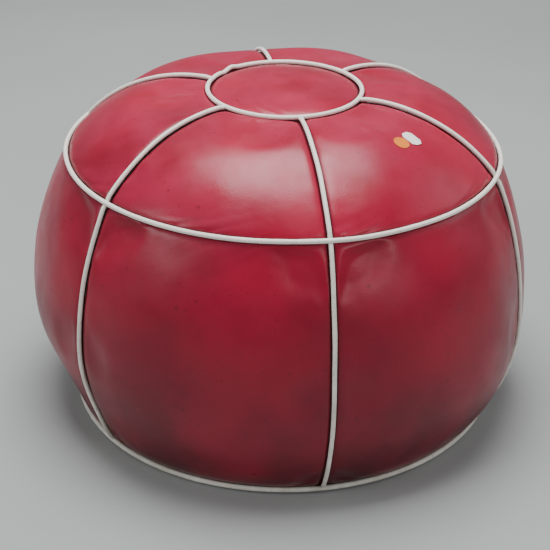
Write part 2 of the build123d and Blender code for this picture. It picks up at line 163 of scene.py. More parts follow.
class PoufBaseSettings(bpy.types.PropertyGroup):
    """The base and what is inside the cover."""

    sag: length("Sag", "Height of the creases in the base", 0.0006)
    grey: colour("Grey", "Colour of the base", "#B9B7B0")
    calico: colour("Calico", "Colour of the liner bag", "#D9CFB8")
    wadding: colour("Wadding", "Colour of the stuffing", "#CFC8BC")


class PoufTrimSettings(bpy.types.PropertyGroup):
    """The zip, the thread and the labels."""

    brass: colour("Brass", "Colour of the zip's metal", "#C9A45C")
    tape: colour("Tape", "Colour of the zip's tape", "#4A4642")
    thread: colour("Thread", "Colour of the sewing thread", "#D8D2C4")
    orange: colour("Orange", "Colour of the round price dot", "#F58A18")
    white: colour("White", "Colour of the lot label", "#FFFFFF")


class PoufStageSettings(bpy.types.PropertyGroup):
    """The floor, the lights and the camera."""

    floor: colour("Floor", "Colour of the studio floor", "#A9ACAC")
    distance: length("Distance", "From the camera to the pouf's middle", 1.499)
    elevation: bpy.props.FloatProperty(
        name="Elevation", description="Height of the camera as an angle", default=math.radians(28.2), subtype="ANGLE"
    )
    azimuth: bpy.props.FloatProperty(
        name="Azimuth", description="Turn of the camera round the pouf", default=math.radians(-11.0), subtype="ANGLE"
    )


# ---- shapes -------------------------------------------------------------------------------------
def along(arcs, v):
    """The profile point at share v of the arcs' length, its outward normal and its distance in metres."""
    lengths = [radius * abs(end - start) for _, radius, start, end in arcs]
    total = sum(lengths)
    left = v * total
    for (centre, radius, start, end), run in zip(arcs, lengths):
        if left <= run or arcs[-1][0] == centre:
            angle = start + (end - start) * left / run
            c, s = math.cos(angle), math.sin(angle)
            return (centre[0] + radius * c, centre[1] + radius * s), (c, s), v * total, total
        left -= run


def wave(x, y, z, seed, size):
    """Smooth noise from -1 to 1 whose lumps are about size metres across."""
    return noise.noise(Vector((x / size + seed, y / size + seed * 1.7, z / size - seed)))


def seam_swing(index, height):
    """How far a gore seam strays sideways at a height, in metres."""
    return 0.0012 * wave(0, 0, height, 3.1 + index, 0.16)


# Where the stuffing has slumped: polar angle, half width, height and reach in height, depth as a share.
SLUMPS = (
    (math.radians(179), 0.62, 0.045, 0.050, 1.0),
    (math.radians(3), 0.42, 0.165, 0.085, 0.75),
)


def settle(co, amount):
    """The stuffing's slump: the left side is pushed in near the floor and the right side higher up."""
    reach = math.hypot(co[0], co[1])
    if reach < 1e-6:
        return co
    angle = math.atan2(co[1], co[0])
    inward = 0.0
    for middle, width, height, rise, share in SLUMPS:
        turn = (angle - middle + math.pi) % (2 * math.pi) - math.pi
        level = math.exp(-(((co[2] - height) / rise) ** 2))
        inward += share * amount * math.exp(-((turn / width) ** 2)) * level
    keep = max(0.0, min(1.0, (reach - 0.15) / 0.06))
    scale = 1 - inward * keep / reach
    return (co[0] * scale, co[1] * scale, co[2])


def deselect():
    bpy.ops.object.select_all(action="DESELECT")


def only(obj):
    """Selects obj alone and makes it active."""
    deselect()
    obj.select_set(True)
    bpy.context.view_layer.objects.active = obj


def apply_modifier(obj, kind, name, **settings):
    """Adds a modifier to obj and applies it."""
    only(obj)
    modifier = obj.modifiers.new(name, kind)
    for key, value in settings.items():
        setattr(modifier, key, value)
    bpy.ops.object.modifier_apply(modifier=modifier.name)


def smooth(obj):
    only(obj)
    bpy.ops.object.shade_smooth()


def grid(name, across, down):
    """A new grid whose corners are (0, 0) and (1, 1), with its rows evened out."""
    deselect()
    bpy.ops.mesh.primitive_grid_add(x_subdivisions=across, y_subdivisions=down, size=1, location=(0.5, 0.5, 0))
    obj = bpy.context.object
    bpy.ops.object.transform_apply(location=True, rotation=True, scale=True)
    obj.name = obj.data.name = name
    return obj


def points(obj):
    co = np.empty(len(obj.data.vertices) * 3)
    obj.data.vertices.foreach_get("co", co)
    return co.reshape(-1, 3)


def set_points(obj, co):
    obj.data.vertices.foreach_set("co", np.asarray(co, float).ravel())
    obj.data.update()


def point_attribute(obj, name, values):
    attribute = obj.data.attributes.get(name) or obj.data.attributes.new(name, "FLOAT", "POINT")
    attribute.data.foreach_set("value", np.asarray(values, np.float32))


def denser_ends(t, amount):
    """Moves shares from 0 to 1 towards both ends, where the seams are."""
    return t - amount * math.sin(2 * math.pi * t) / (2 * math.pi)


def gore_sheet(name, index, arcs, settings, across, down):
    """A gore's sheet of leather, bulged between its seams and drawn in at them."""
    obj = grid(name, across, down)
    co, gaps = [], []
    seed = 11.3 * index + (5.0 if arcs is TOP_ARCS else 0.0)
    pin = obj.vertex_groups.new(name="stitched")
    for i, (u, v, _) in enumerate(points(obj)):
        if u < 1e-4 or u > 0.9999 or v < 1e-4 or v > 0.9999:
            pin.add([i], 1.0, "REPLACE")
        u, v = denser_ends(u, 0.8), denser_ends(v, 0.72)
        (radius, height), out, run, total = along(arcs, v)
        first = FIRST_SEAM + GORE_ANGLE * index
        left = first + (seam_swing(index, height) + 0.0009) / radius
        right = first + GORE_ANGLE + (seam_swing((index + 1) % GORES, height) - 0.0009) / radius
        angle = left + (right - left) * u
        side_gap = min(u, 1 - u) * (right - left) * radius
        ring_gap = min(run, total - run)
        gap = min(side_gap, ring_gap)
        rise = (1 - math.exp(-((side_gap / 0.05) ** 2))) * (1 - math.exp(-((ring_gap / 0.045) ** 2)))
        draw = math.exp(-((side_gap / settings.groove_width) ** 1.6)) + math.exp(
            -((ring_gap / settings.groove_width) ** 1.6)
        )
        lift = settings.puff * rise - settings.groove * min(1.0, draw)
        r, z = radius + out[0] * lift, height + out[1] * lift
        co.append((r * math.cos(angle), r * math.sin(angle), z))
        gaps.append((side_gap, ring_gap, gap, angle, radius, run, out[0], out[1]))
    set_points(obj, co)
    return obj, np.array(gaps), seed


def disc_sheet(name, settings):
    """The round top disc as one sheet of leather with a square of quads in its middle."""
    obj = grid(name, 56, 56)
    co, gaps = [], []
    pin = obj.vertex_groups.new(name="stitched")
    for i, (u, v, _) in enumerate(points(obj)):
        x, y = 2 * u - 1, 2 * v - 1
        if max(abs(x), abs(y)) > 0.9999:
            pin.add([i], 1.0, "REPLACE")
        # A square's points are moved onto a disc.
        dx, dy = x * math.sqrt(1 - y * y / 2), y * math.sqrt(1 - x * x / 2)
        share = min(1.0, math.hypot(dx, dy))
        radius = share * (DISC_SEAM[0] - 0.0009)
        angle = math.atan2(dy, dx)
        height = CROWN[1] - CROWN_RADIUS + math.sqrt(CROWN_RADIUS**2 - radius**2)
        gap = DISC_SEAM[0] - 0.0009 - radius
        lift = 0.002 * (1 - math.exp(-((gap / 0.02) ** 2)))
        lift -= settings.groove * math.exp(-((gap / settings.groove_width) ** 1.6))
        co.append((radius * math.cos(angle), radius * math.sin(angle), height + lift))
        gaps.append((1.0, gap, gap, angle, max(radius, 1e-4), radius, 0.0, 1.0))
    set_points(obj, co)
    return obj, np.array(gaps), 71.0


def stuff(objects, settings):
    """Inflates the stitched sheets together as cloth and keeps the result in their meshes."""
    for obj in objects:
        cloth = obj.modifiers.new("stuffing", "CLOTH")
        cloth.settings.quality = 5
        cloth.settings.mass = 0.6
        cloth.settings.tension_stiffness = 25
        cloth.settings.compression_stiffness = 25
        cloth.settings.shear_stiffness = 12
        cloth.settings.bending_stiffness = 8
        cloth.settings.vertex_group_mass = "stitched"
        cloth.settings.use_pressure = True
        cloth.settings.uniform_pressure_force = settings.pressure
        cloth.settings.shrink_min = -0.001
        cloth.settings.effector_weights.gravity = 0
        cloth.collision_settings.use_collision = False
        cloth.point_cache.frame_start = 1
        cloth.point_cache.frame_end = 20
    scene = bpy.context.scene
    for step in range(1, 21):
        scene.frame_set(step)
    graph = bpy.context.evaluated_depsgraph_get()
    most = 0.003
    for obj in objects:
        start = points(obj)
        swollen = np.array([v.co[:] for v in obj.evaluated_get(graph).data.vertices])
        move = swollen - start
        size = np.linalg.norm(move, axis=1, keepdims=True)
        move *= np.minimum(1.0, most / np.maximum(size, 1e-9))
        obj.modifiers.clear()
        set_points(obj, start + move)
    scene.frame_set(1)


def tool_creases(obj, gaps, seed, settings):
    """Dents from the stuffing and short creases that run out from the seams, then the slump."""
    co = points(obj)
    done = []
    for (x, y, z), (side_gap, ring_gap, gap, angle, radius, run, out_r, out_z) in zip(co, gaps):
        hold = 1 - math.exp(-((gap / 0.012) ** 2))
        lift = settings.dent * hold * wave(x, y, z, seed, 0.085)
        lift += 0.35 * settings.dent * hold * wave(x, y, z, seed + 4, 0.034)
        arc = angle * max(radius, 0.03)
        ring = wave(arc, 0, 0, seed + 9, 0.011) * math.exp(-ring_gap / 0.012) * (1 - math.exp(-ring_gap / 0.0022))
        side = wave(run, 0, 0, seed + 7, 0.014) * math.exp(-side_gap / 0.010) * (1 - math.exp(-side_gap / 0.0022))
        patch = 0.6 + 0.8 * wave(x, y, z, seed + 2, 0.07)
        lift += settings.crease * 2.4 * patch * (ring + 0.8 * side)
        r = out_r * lift
        moved = (x + math.cos(angle) * r, y + math.sin(angle) * r, z + out_z * lift)
        done.append(settle(moved, settings.slump))
    set_points(obj, done)


def finish_sheet(obj, gaps, hide):
    """Gives a sheet its thickness inwards, rounder facets and the distance to its nearest seam."""
    point_attribute(obj, "seam_gap", gaps[:, 2])
    low = np.exp(-((points(obj)[:, 2] - 0.02) / 0.07) ** 2) * np.exp(-((gaps[:, 0] / 0.02) ** 2))
    stained = np.cos(gaps[:, 3] - math.radians(210)) > 0.8
    point_attribute(obj, "stain", low * stained)
    bpy.context.view_layer.update()
    only(obj)
    normal = np.array([p.normal[:] for p in obj.data.polygons])
    middle = np.array([p.center[:] for p in obj.data.polygons])
    if (normal * (middle - np.array((0, 0, 0.15)))).sum() < 0:
        obj.data.flip_normals()
    apply_modifier(obj, "SUBSURF", "rounder", levels=1, render_levels=1)
    apply_modifier(obj, "SOLIDIFY", "hide", thickness=hide, offset=-1.0)
    obj.vertex_groups.clear()
    smooth(obj)


def adopt(obj, body, nodes, material):
    """Puts a finished piece on its body in place of CAD nodes, with its material."""
    obj.data.materials.clear()
    obj.data.materials.append(material)
    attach(obj, body)
    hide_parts(*nodes)


# ---- materials ----------------------------------------------------------------------------------
def add_node(tree, kind, inputs=None, **settings):
    """Adds a node, sets its properties, and sets or links its inputs."""
    node = tree.nodes.new(kind)
    for key, value in settings.items():
        setattr(node, key, value)
    for key, value in (inputs or {}).items():
        if isinstance(value, bpy.types.NodeSocket):
            tree.links.new(value, node.inputs[key])
        else:
            node.inputs[key].default_value = value
    return node


def start_material(name):
    """A new material, its node tree, its shader and its object coordinates."""
    material = bpy.data.materials.new(name)
    material.use_nodes = True
    tree = material.node_tree
    tree.nodes.clear()
    shader = add_node(tree, "ShaderNodeBsdfPrincipled")
    add_node(tree, "ShaderNodeOutputMaterial", {"Surface": shader.outputs["BSDF"]})
    place = add_node(tree, "ShaderNodeTexCoord").outputs["Object"]
    return material, tree, shader, place


def spots(tree, place, size, detail=3.0, low=0.35, high=0.65):
    """Noise with lumps of a size in metres, stretched to 0 and 1 between low and high."""
    made = add_node(tree, "ShaderNodeTexNoise", {"Vector": place, "Scale": 1 / size, "Detail": detail})
    ranged = add_node(
        tree, "ShaderNodeMapRange", {"Value": made.outputs["Fac"], "From Min": low, "From Max": high}, clamp=True
    )
    return ranged.outputs["Result"]


def mixed(tree, factor, a, b, blend="MIX"):
    """Colour a mixed with colour b by a factor."""
    node = add_node(tree, "ShaderNodeMix", data_type="RGBA", blend_type=blend)
    for index, value in ((0, factor), (6, a), (7, b)):
        if isinstance(value, bpy.types.NodeSocket):
            tree.links.new(value, node.inputs[index])
        else:
            node.inputs[index].default_value = value
    return node.outputs[2]


def math_of(tree, operation, *values, clamp=False):
    node = add_node(tree, "ShaderNodeMath", operation=operation, use_clamp=clamp)
    for index, value in enumerate(values):
        if isinstance(value, bpy.types.NodeSocket):
            tree.links.new(value, node.inputs[index])
        else:
            node.inputs[index].default_value = value
    return node.outputs[0]


def bumped(tree, height, distance, strength, under=None):
    inputs = {"Height": height, "Distance": distance, "Strength": strength}
    if under is not None:
        inputs["Normal"] = under
    return add_node(tree, "ShaderNodeBump", inputs).outputs["Normal"]


def crimson_leather(settings):
    """Smooth aniline-dyed leather, polished with use: a soft broad gloss, faded by rubbing and lightened by a painted
    sheen on top, and darkened by dirt and painted shade in its seams and low on its sides.
    """
    material, tree, shader, place = start_material("crimson_leather_polished")
    link = tree.links.new
    base = mixed(tree, spots(tree, place, 0.11, 4), settings.crimson[:], settings.deep[:])
    # Leather faded by rubbing and a painted sheen of the overhead light lie in loose patches on what faces up.
    facing = add_node(tree, "ShaderNodeSeparateXYZ", {"Vector": add_node(tree, "ShaderNodeNewGeometry").outputs["Normal"]})
    up = add_node(tree, "ShaderNodeMapRange", {"Value": facing.outputs["Z"], "From Min": 0.1, "From Max": 1.0})
    sheen_and_rubbing = math_of(tree, "MULTIPLY", up.outputs["Result"], spots(tree, place, 0.05, 6, 0.3, 0.75))
    base = mixed(tree, math_of(tree, "MULTIPLY", sheen_and_rubbing, 0.55), base, settings.bloom_and_sheen[:])
    # Dirt and painted shade gather in the seam grooves beside the piping.
    gap = add_node(tree, "ShaderNodeAttribute", attribute_name="seam_gap").outputs["Fac"]
    near = add_node(
        tree, "ShaderNodeMapRange", {"Value": gap, "From Min": 0.0022, "From Max": 0.0042, "To Min": 1.0, "To Max": 0.0}
    )
    seam_dirt_and_shade = math_of(tree, "MULTIPLY", near.outputs["Result"], 0.8)
    # Painted shade, with patchy dirt, darkens the lowest part of the sides towards the floor.
    height = add_node(tree, "ShaderNodeSeparateXYZ", {"Vector": place}).outputs["Z"]
    low = add_node(
        tree, "ShaderNodeMapRange", {"Value": height, "From Min": 0.0, "From Max": 0.17, "To Min": 0.85, "To Max": 0.0}
    )
    low_shade_and_dirt = math_of(tree, "MULTIPLY", low.outputs["Result"], spots(tree, place, 0.06, 4, 0.0, 0.6))
    base = mixed(tree, math_of(tree, "MAXIMUM", seam_dirt_and_shade, low_shade_and_dirt), base, settings.grime_and_shade[:])
    # A brown scuffed stain beside one side seam, near the floor.
    stain = add_node(tree, "ShaderNodeAttribute", attribute_name="stain").outputs["Fac"]
    worn = math_of(tree, "MULTIPLY", stain, spots(tree, place, 0.012, 6, 0.3, 0.6))
    base = mixed(tree, worn, base, settings.stain[:])
    # Small dark scuffs, a few millimetres long.
    scuff = math_of(tree, "MULTIPLY", spots(tree, place, 0.006, 2, 0.68, 0.76), 0.35)
    base = mixed(tree, scuff, base, settings.grime_and_shade[:])
    link(base, shader.inputs["Base Color"])
    rough = add_node(
        tree,
        "ShaderNodeMapRange",
        {"Value": spots(tree, place, 0.03, 5, 0.3, 0.7), "To Min": 0.27, "To Max": 0.4},
    )
    link(rough.outputs["Result"], shader.inputs["Roughness"])
    # Real grain is about 0.6 mm; it is drawn at 1.3 mm so that it shows.
    grain = add_node(tree, "ShaderNodeTexVoronoi", {"Vector": place, "Scale": 1 / 0.0013}).outputs["Distance"]
    fine = bumped(tree, grain, 0.0002, 0.22)
    ripple = spots(tree, place, 0.012, 4, 0.3, 0.7)
    link(bumped(tree, ripple, 0.0004, 0.16, fine), shader.inputs["Normal"])
    shader.inputs["IOR"].default_value = 1.47
    return material


def cream_piping(settings):
    """Cream leathercloth folded round a cord: a dull sheen, greyed in patches by handling dirt and by painted shade
    that grows towards the floor.
    """
    material, tree, shader, place = start_material("cream_leathercloth_piping")
    link = tree.links.new
    # Painted shade with handling dirt: the piping greys in patches, more towards the floor.
    height = add_node(tree, "ShaderNodeSeparateXYZ", {"Vector": place}).outputs["Z"]
    low = add_node(
        tree, "ShaderNodeMapRange", {"Value": height, "From Min": 0.0, "From Max": 0.28, "To Min": 0.75, "To Max": 0.12}
    )
    soiling_and_shade = math_of(tree, "MULTIPLY", low.outputs["Result"], spots(tree, place, 0.02, 5, 0.25, 0.7))
    base = mixed(tree, soiling_and_shade, settings.cream[:], settings.soiled_and_shaded[:])
    specks = math_of(tree, "MULTIPLY", spots(tree, place, 0.003, 2, 0.62, 0.75), 0.35)
    link(mixed(tree, specks, base, linear("#6B655A")), shader.inputs["Base Color"])
    shader.inputs["Roughness"].default_value = 0.46
    # Fine cross wrinkles, about 1.5 mm apart, where the strip is folded round its cord.
    wrinkle = spots(tree, place, 0.0016, 2, 0.3, 0.7)
    link(bumped(tree, wrinkle, 0.0002, 0.25), shader.inputs["Normal"])
    return material


def woven(name, base_colour, pitch, roughness, dark=0.55):
    """Plain-woven cotton: matt, with threads a pitch apart in metres."""
    material, tree, shader, place = start_material(name)
    link = tree.links.new
    axes = add_node(tree, "ShaderNodeSeparateXYZ", {"Vector": place}).outputs
    waves = [math_of(tree, "SINE", math_of(tree, "MULTIPLY", axes[k], 2 * math.pi / pitch)) for k in range(3)]
    weave = math_of(tree, "ADD", math_of(tree, "MULTIPLY", waves[0], waves[1]), waves[2])
    shade = [c * dark for c in base_colour[:3]] + [1.0]
    blotch = spots(tree, place, 0.02, 5, 0.3, 0.7)
    link(mixed(tree, math_of(tree, "MULTIPLY", blotch, 0.6), list(base_colour), shade), shader.inputs["Base Color"])
    shader.inputs["Roughness"].default_value = roughness
    link(bumped(tree, weave, 0.0001, 0.4), shader.inputs["Normal"])
    return material


def grey_leathercloth(settings):
    """Embossed grey leathercloth: matt, with a fine pebbled grain, scuffed where it stands."""
    material, tree, shader, place = start_material("grey_leathercloth_embossed")
    link = tree.links.new
    dark = [c * 0.55 for c in settings.grey[:3]] + [1.0]
    link(mixed(tree, spots(tree, place, 0.035, 6, 0.35, 0.7), settings.grey[:], dark), shader.inputs["Base Color"])
    shader.inputs["Roughness"].default_value = 0.6
    grain = add_node(tree, "ShaderNodeTexVoronoi", {"Vector": place, "Scale": 1 / 0.0015}).outputs["Distance"]
    link(bumped(tree, grain, 0.0002, 0.35), shader.inputs["Normal"])
    return material


def cast_brass(settings):
    """Tumbled zip brass: a soft warm metal, dulled in patches by handling."""
    material, tree, shader, place = start_material("zip_brass_tumbled")
    link = tree.links.new
    dull = [c * 0.55 for c in settings.brass[:3]] + [1.0]
    link(mixed(tree, spots(tree, place, 0.004, 4), settings.brass[:], dull), shader.inputs["Base Color"])
    shader.inputs["Metallic"].default_value = 1.0
    rough = add_node(tree, "ShaderNodeMapRange", {"Value": spots(tree, place, 0.002, 4), "To Min": 0.25, "To Max": 0.42})
    link(rough.outputs["Result"], shader.inputs["Roughness"])
    link(bumped(tree, spots(tree, place, 0.0008, 2), 0.0001, 0.12), shader.inputs["Normal"])
    return material


def label_paper(name, base_colour, worn):
    """Printed self-adhesive paper without print: matt and fibrous, a little worn by rubbing and yellowed."""
    material, tree, shader, place = start_material(name)
    link = tree.links.new
    link(mixed(tree, spots(tree, place, 0.004, 5, 0.3, 0.75), list(base_colour), linear(worn)), shader.inputs["Base Color"])
    shader.inputs["Roughness"].default_value = 0.55
    link(bumped(tree, spots(tree, place, 0.0006, 3), 0.00005, 0.3), shader.inputs["Normal"])
    return material


def studio_floor(settings):
    """Matt seamless studio paper: no gloss, and no more than a breath of tone."""
    material, tree, shader, place = start_material("studio_paper_matt")
    lighter = [min(1.0, c * 1.08) for c in settings.floor[:3]] + [1.0]
    tree.links.new(mixed(tree, spots(tree, place, 0.6, 3), settings.floor[:], lighter), shader.inputs["Base Color"])
    shader.inputs["Roughness"].default_value = 0.9
    shader.inputs["Specular IOR Level"].default_value = 0.1
    return material


# ---- operators ----------------------------------------------------------------------------------
class POUF_OT_cover(bpy.types.Operator):
    """Makes the stuffed leather gores and the top disc"""

    bl_idname = "pouf.cover"
    bl_label = "Leather cover"

    def execute(self, context):
        settings = context.scene.pouf_cover
        leather = crimson_leather(settings)
        sheets = {}
        for index in range(GORES):
            number = index + 1
            sheets[f"top_gore_{number}"] = gore_sheet(f"stuffed_top_gore_{number}", index, TOP_ARCS, settings, 72, 44)
            sheets[f"side_gore_{number}"] = gore_sheet(f"stuffed_side_gore_{number}", index, SIDE_ARCS, settings, 72, 72)
        sheets["top_disc"] = disc_sheet("stuffed_top_disc", settings)
        stuff([obj for obj, _, _ in sheets.values()], settings)
        for node, (obj, gaps, seed) in sheets.items():
            tool_creases(obj, gaps, seed, settings)
            finish_sheet(obj, gaps, settings.hide)
            adopt(obj, "cover", [node], leather)
        return {"FINISHED"}


def bar(name, centre_line, radius, closed, sides=14):
    """A round bar along points, as a mesh, from a circle that is carried from point to point."""
    deselect()
    bpy.ops.mesh.primitive_circle_add(vertices=sides, radius=radius, fill_type="NOTHING")
    obj = bpy.context.object
    obj.name = obj.data.name = name
    ring = points(obj)
    line = [Vector(p) for p in centre_line]
    count = len(line)
    mesh = bmesh.new()
    rings = []
    for i, place in enumerate(line):
        ahead = line[(i + 1) % count] if closed or i + 1 < count else line[i]
        behind = line[i - 1] if closed or i else line[i]
        tangent = (ahead - behind).normalized()
        outward = (place - Vector((0, 0, 0.12))).normalized()
        side = tangent.cross(outward).normalized()
        outward = side.cross(tangent)
        swell = 1 + 0.05 * wave(*place, 5.0, 0.012) + 0.03 * wave(*place, 8.0, 0.005)
        rings.append([mesh.verts.new(place + (side * x + outward * y) * swell) for x, y, _ in ring])
    for i in range(count if closed else count - 1):
        a, b = rings[i], rings[(i + 1) % count]
        for k in range(sides):
            mesh.faces.new((a[k], a[(k + 1) % sides], b[(k + 1) % sides], b[k]))
    if not closed:
        mesh.faces.new(list(reversed(rings[0])))
        mesh.faces.new(rings[-1])
    bmesh.ops.recalc_face_normals(mesh, faces=mesh.faces)
    mesh.to_mesh(obj.data)
    mesh.free()
    smooth(obj)
    return obj


def ring_line(name, settings, slump, lift, side=0.0):
    """The points of a line round a ring seam: lift over the leather and side along it, off the seam."""
    (radius, height), tilt = RINGS[name]
    steps = max(120, int(2 * math.pi * radius / 0.003))
    up, away = math.sin(tilt), math.cos(tilt)
    line = []
    for i in range(steps):
        angle = 2 * math.pi * i / steps
        stray = side + settings.wander * wave(radius * math.cos(angle), radius * math.sin(angle), 0, 2.2, 0.07)
        lap = 0.0
        if name == "disc_ring":
            # The strip's two ends lap over each other at the back of the disc.
            turn = (angle - math.radians(124) + math.pi) % (2 * math.pi) - math.pi
            lap = 0.0016 * math.exp(-((turn / 0.075) ** 2)) - 0.0008 * math.exp(-(((turn - 0.17) / 0.06) ** 2))
        r = radius + away * (lift + lap) + stray * up
        z = height + up * (lift + lap) - stray * away
        line.append(settle((r * math.cos(angle), r * math.sin(angle), z), slump))
    return line


def gore_line(arcs, index, settings, slump, lift, side=0.0):
    """The points of a line down a gore seam, which dips under the ring pipings at its ends."""
    total = along(arcs, 0)[3]
    steps = int(total / 0.003)
    line = []
    for i in range(steps + 1):
        (radius, height), out, run, _ = along(arcs, min(1.0, (0.001 + (total - 0.002) * i / steps) / total))
        sink = 0.0016 * math.exp(-((min(run, total - run) / 0.004) ** 2))
        stray = side + seam_swing(index, height) + settings.wander * wave(run, index, 0, 6.0, 0.05)
        angle = FIRST_SEAM + GORE_ANGLE * index + stray / radius
        r, z = radius + out[0] * (lift - sink), height + out[1] * (lift - sink)
        line.append(settle((r * math.cos(angle), r * math.sin(angle), z), slump))
    return line


def joined(name, objects):
    """Several bars as one object."""
    deselect()
    for obj in objects:
        obj.select_set(True)
    bpy.context.view_layer.objects.active = objects[0]
    bpy.ops.object.join()
    objects[0].name = objects[0].data.name = name
    return objects[0]


class POUF_OT_piping(bpy.types.Operator):
    """Makes the cream piping of every seam, with the cord in it and the stitches under it"""

    bl_idname = "pouf.piping"
    bl_label = "Piping"

    def execute(self, context):
        settings = context.scene.pouf_piping
        slump = context.scene.pouf_cover.slump
        cream = cream_piping(settings)
        cotton = woven("cotton_piping_cord", settings.cotton[:], 0.0014, 0.9, 0.7)
        waxed = woven("bonded_thread_in_seams", settings.cotton[:], 0.0008, 0.6)
        lift, core, deep, apart = settings.lift, settings.core, -settings.stitch_depth, settings.stitch_side
        for name in RINGS:
            thick = settings.radius * (1.15 if name == "base_ring" else 1.0)
            line = ring_line(name, settings, slump, lift)
            adopt(bar(f"{name}_welt", line, thick, True), "cover", [f"{name}_piping"], cream)
            adopt(bar(f"{name}_core", line, core, True, 8), "cover", [f"{name}_cord"], cotton)
            rows = [ring_line(name, settings, slump, deep, side) for side in (-apart, apart)]
            stitches = [bar(f"{name}_stitch_{i}", row, 0.0003, True, 6) for i, row in enumerate(rows)]
            stitches = joined(f"{name}_stitches", stitches)
            adopt(stitches, "cover", [f"{name}_thread"], waxed)
        for kind, arcs in (("top_seam", TOP_ARCS), ("side_seam", SIDE_ARCS)):
            cores, stitches = [], []
            for index in range(GORES):
                line = gore_line(arcs, index, settings, slump, lift)
                welt = bar(f"{kind}_welt_{index + 1}", line, settings.radius * 0.95, False)
                adopt(welt, "cover", [f"{kind}_piping_{index + 1}"], cream)
                cores.append(bar(f"{kind}_core_{index + 1}", line[2:-2], core, False, 8))
                for side in (-apart, apart):
                    row = gore_line(arcs, index, settings, slump, deep, side)[3:-3]
                    stitches.append(bar(f"{kind}_stitch_{index}_{side > 0:d}", row, 0.0003, False, 6))
            adopt(joined(f"{kind}_cores", cores), "cover", [f"{kind}_cords"], cotton)
            adopt(joined(f"{kind}_stitches", stitches), "cover", [f"{kind}_threads"], waxed)
        return {"FINISHED"}


def base_height(radius):
    """The base's underside: a rim, a flat foot and a middle that is drawn up."""
    knots = ((0.0, 0.008), (0.164, 0.008), (0.172, 0.0066), (0.182, 0.0012), (0.188, 0.0), (0.202, 0.0), (0.208, 0.0012), (0.2165, 0.0056), (0.3, 0.03))
    for (r0, z0), (r1, z1) in zip(knots, knots[1:]):
        if radius <= r1:
            t = (radius - r0) / (r1 - r0)
            return z0 + (z1 - z0) * t * t * (3 - 2 * t)
    return knots[-1][1]


class POUF_OT_base(bpy.types.Operator):
    """Makes the two halves of the grey base"""

    bl_idname = "pouf.base"
    bl_label = "Base"

    def execute(self, context):
        settings = context.scene.pouf_base
        cover = context.scene.pouf_cover
        cloth = grey_leathercloth(settings)
        rim = BASE_SEAM[0] - 0.0006
        for name, side in (("front", -1), ("rear", 1)):
            obj = grid(f"grey_base_{name}", 110, 60)
            co = []
            for u, v, _ in points(obj):
                x = -math.cos(math.pi * (0.002 + 0.996 * u)) * rim
                slot = 0.0055 if abs(x) < 0.143 else 0.00005 + 0.00545 * max(0.0, 1 - (abs(x) - 0.143) / 0.004)
                far = math.sqrt(rim**2 - x * x)
                slot = min(slot, far)
                y = slot + (far - slot) * v
                r = math.hypot(x, y)
                z = base_height(r)
                loose = max(0.0, 1 - abs(r - 0.085) / 0.075)
                crease = settings.sag * wave(x * 0.4, y, 0, 31.0, 0.03) + 0.5 * settings.sag * wave(x, y, 0, 34.0, 0.011)
                z += loose * crease
                co.append(settle((x, side * y, z), cover.slump))
            set_points(obj, co)
            normal = np.array([p.normal[2] for p in obj.data.polygons]).sum()
            if normal > 0:
                obj.data.flip_normals()
            apply_modifier(obj, "SOLIDIFY", "hide", thickness=cover.hide, offset=-1.0)
            smooth(obj)
            adopt(obj, "cover", [f"base_half_{name}"], cloth)
        return {"FINISHED"}


class POUF_OT_filling(bpy.types.Operator):
    """Makes the liner bag and its stuffing"""

    bl_idname = "pouf.filling"
    bl_label = "Liner and stuffing"

    def execute(self, context):
        settings = context.scene.pouf_base
        calico = woven("calico_unbleached", settings.calico[:], 0.0012, 0.85)
        wadding = woven("wool_wadding_loose", settings.wadding[:], 0.0035, 0.95)
        low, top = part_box("liner_wall")[0][2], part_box("liner_wall")[1][2]
        for node, material, slot, inset, ply in (
            ("liner_top", calico, "liner_calico", 0.0105, 0.0008),
            ("liner_wall", calico, "liner_calico", 0.0105, 0.0008),
            ("liner_base", calico, "liner_calico", 0.0105, 0.0008),
            ("stuffing", wadding, "stuffing_wadding", 0.0155, 0.0),
        ):
            deselect()
            bpy.ops.mesh.primitive_uv_sphere_add(segments=96, ring_count=64, radius=1)
            obj = bpy.context.object
            obj.name = obj.data.name = f"{node}_soft"
            co = []
            for x, y, z in points(obj):
                t = math.acos(max(-1.0, min(1.0, z))) / math.pi
                (radius, height) = bag_profile(t, inset)
                angle = math.atan2(y, x)
                px, py = radius * math.cos(angle), radius * math.sin(angle)
                lump = wave(px, py, height, 41.0, 0.05) * 0.0022 + wave(px, py, height, 44.0, 0.018) * 0.0009
                shrink = 1 - (0.0022 - lump) / 0.25
                co.append((px * shrink, py * shrink, 0.15 + (height - 0.15) * shrink))
            set_points(obj, co)
            only(obj)
            bpy.ops.object.mode_set(mode="EDIT")
            bpy.ops.mesh.select_all(action="SELECT")
            if node == "liner_top":
                bpy.ops.mesh.bisect(plane_co=(0, 0, top), plane_no=(0, 0, 1), clear_inner=True)
            elif node == "liner_base":
                bpy.ops.mesh.bisect(plane_co=(0, 0, low + 0.006), plane_no=(0, 0, 1), clear_outer=True)
            elif node == "liner_wall":
                bpy.ops.mesh.bisect(plane_co=(0, 0, top), plane_no=(0, 0, 1), clear_outer=True)
                bpy.ops.mesh.select_all(action="SELECT")
                bpy.ops.mesh.bisect(plane_co=(0, 0, low + 0.006), plane_no=(0, 0, 1), clear_inner=True)
            bpy.ops.object.mode_set(mode="OBJECT")
            if ply:
                apply_modifier(obj, "SOLIDIFY", "calico", thickness=ply, offset=-1.0)
            smooth(obj)
            adopt(obj, "cover", [node], material)
        return {"FINISHED"}


